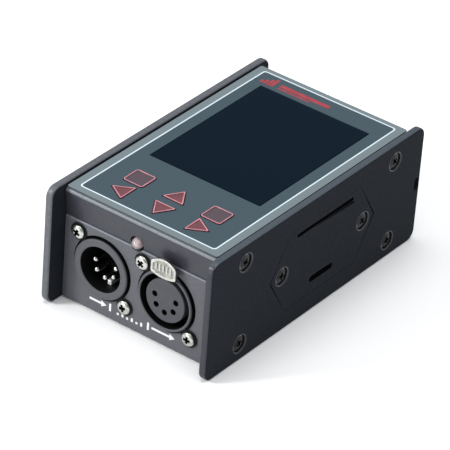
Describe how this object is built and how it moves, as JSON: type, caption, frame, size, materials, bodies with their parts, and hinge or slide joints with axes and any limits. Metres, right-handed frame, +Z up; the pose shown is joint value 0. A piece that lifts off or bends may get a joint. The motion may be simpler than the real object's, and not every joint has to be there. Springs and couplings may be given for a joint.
{
  "type": "rdm tester",
  "caption": "Hand-held tester for lighting control lines: folded sheet-metal case between side cheeks, display and soft keys on top, round cable connectors with a release tab in front.",
  "frame": {"origin": "middle of the underside, on the surface that the tester lies on", "axes": "-Y towards the cable connectors, +Y towards the rear, +X to the side plate, +Z up through the display"},
  "size_m": [0.0674, 0.1146, 0.0437],
  "materials": {
    "charcoal_coat": "satin powder coat",
    "grey_coat": "satin coat",
    "printed_sheet": "fine-textured printed film",
    "dark_window": "clear window over a dark display",
    "red_key": "printed key",
    "display_frame": "pressed frame",
    "board_green": "glass-fibre board",
    "spacer_metal": "turned",
    "connector_shell": "die-cast, dark nickel",
    "insert_grey": "moulded",
    "carrier_black": "moulded",
    "contact_silver": "silver plated",
    "bright_nickel": "nickel plated",
    "dark_screw": "blackened",
    "clear_lamp": "clear dome",
    "battery_wrap": "shrink wrap"
  },
  "bodies": {
    "case": {"left_cheek": "charcoal_coat", "right_cheek": "charcoal_coat", "side_plate": "charcoal_coat", "top_cover": "grey_coat", "base_shell": "grey_coat", "overlay": "printed_sheet", "display_window": "dark_window", "display_module": "display_frame", "main_board": "board_green", "connector_board": "board_green", "board_spacer_1": "spacer_metal", "board_spacer_2": "spacer_metal", "board_spacer_3": "spacer_metal", "board_spacer_4": "spacer_metal", "male_shell": "connector_shell", "male_pin_carrier": "carrier_black", "male_pin_1": "contact_silver", "male_pin_2": "contact_silver", "male_pin_3": "contact_silver", "male_pin_4": "contact_silver", "male_pin_5": "contact_silver", "female_shell": "connector_shell", "female_insert": "insert_grey", "status_lamp": "clear_lamp", "charging_socket": "contact_silver", "battery_pack": "battery_wrap", "male_screw_1": "bright_nickel", "male_screw_2": "bright_nickel", "female_screw_1": "bright_nickel", "female_screw_2": "bright_nickel", "cheek_screw_left_1": "dark_screw", "cheek_screw_left_2": "dark_screw", "cheek_screw_left_3": "dark_screw", "cheek_screw_left_4": "dark_screw", "cheek_screw_right_1": "dark_screw", "cheek_screw_right_2": "dark_screw", "cheek_screw_right_3": "dark_screw", "cheek_screw_right_4": "dark_screw", "plate_screw_front": "dark_screw", "plate_screw_rear": "dark_screw"},
    "latch_tab": {"release_tab": "bright_nickel", "tab_spring": "bright_nickel"},
    "square_key_left": {"key_square_left": "red_key"},
    "square_key_right": {"key_square_right": "red_key"},
    "up_key": {"key_up": "red_key"},
    "down_key": {"key_down": "red_key"},
    "left_key": {"key_left": "red_key"},
    "right_key": {"key_right": "red_key"}
  },
  "joints": [
    {"name": "release_tab_slide", "type": "slide", "parent": "case", "child": "latch_tab", "axis": [0, 1, 0], "range_m": [0, 0.0012], "stiffness_N_per_m": 2500},
    {"name": "square_key_left_press", "type": "slide", "parent": "case", "child": "square_key_left", "axis": [0, 0, -1], "range_m": [0, 0.0004], "stiffness_N_per_m": 2000},
    {"name": "square_key_right_press", "type": "slide", "parent": "case", "child": "square_key_right", "axis": [0, 0, -1], "range_m": [0, 0.0004], "stiffness_N_per_m": 2000},
    {"name": "up_key_press", "type": "slide", "parent": "case", "child": "up_key", "axis": [0, 0, -1], "range_m": [0, 0.0004], "stiffness_N_per_m": 2000},
    {"name": "down_key_press", "type": "slide", "parent": "case", "child": "down_key", "axis": [0, 0, -1], "range_m": [0, 0.0004], "stiffness_N_per_m": 2000},
    {"name": "left_key_press", "type": "slide", "parent": "case", "child": "left_key", "axis": [0, 0, -1], "range_m": [0, 0.0004], "stiffness_N_per_m": 2000},
    {"name": "right_key_press", "type": "slide", "parent": "case", "child": "right_key", "axis": [0, 0, -1], "range_m": [0, 0.0004], "stiffness_N_per_m": 2000}
  ]
}
